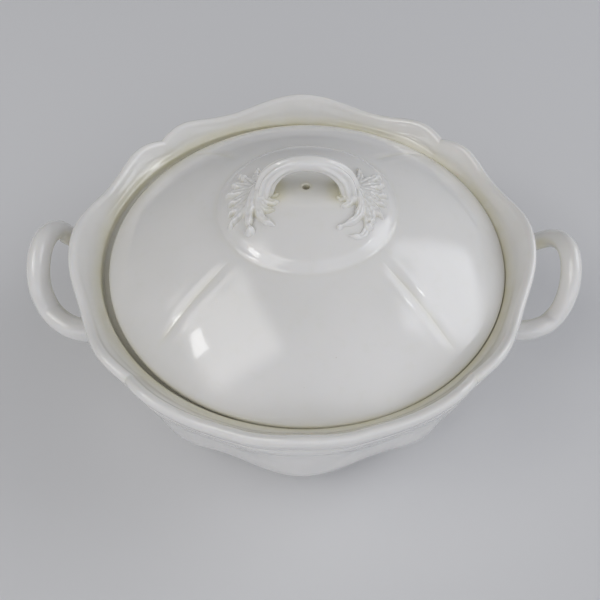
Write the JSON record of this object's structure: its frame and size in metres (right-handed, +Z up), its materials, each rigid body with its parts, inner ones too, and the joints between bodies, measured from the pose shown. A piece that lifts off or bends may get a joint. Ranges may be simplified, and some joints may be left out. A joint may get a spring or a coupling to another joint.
{
  "type": "covered casserole dish",
  "caption": "Round lobed casserole dish with a wavy rim, two upswept loop side handles and a domed lift-off lid with an arched loop finial set in leaf sprays.",
  "frame": {"origin": "centre of the foot ring's underside, on the bowl's axis", "axes": "+Z up out of the bowl, +X towards the right-hand side handle, +Y towards the back; the lid lifts along +Z"},
  "size_m": [0.303, 0.2454, 0.1405],
  "materials": {
    "ivory_glaze": "high gloss creamy ivory-white transparent glaze over white earthenware",
    "relief_glaze": "high gloss ivory glaze that pools straw yellow in the hollows of the relief"
  },
  "bodies": {
    "dish": {"dish_bowl": "ivory_glaze", "handle_left": "ivory_glaze", "handle_right": "ivory_glaze"},
    "lid": {"lid_shell": "ivory_glaze", "finial_loop": "relief_glaze", "leaf_spray_left": "relief_glaze", "leaf_spray_right": "relief_glaze"}
  },
  "joints": [
    {"name": "lid_lift", "type": "slide", "parent": "dish", "child": "lid", "axis": [0, 0, 1], "range_m": [0, 0.12]}
  ]
}
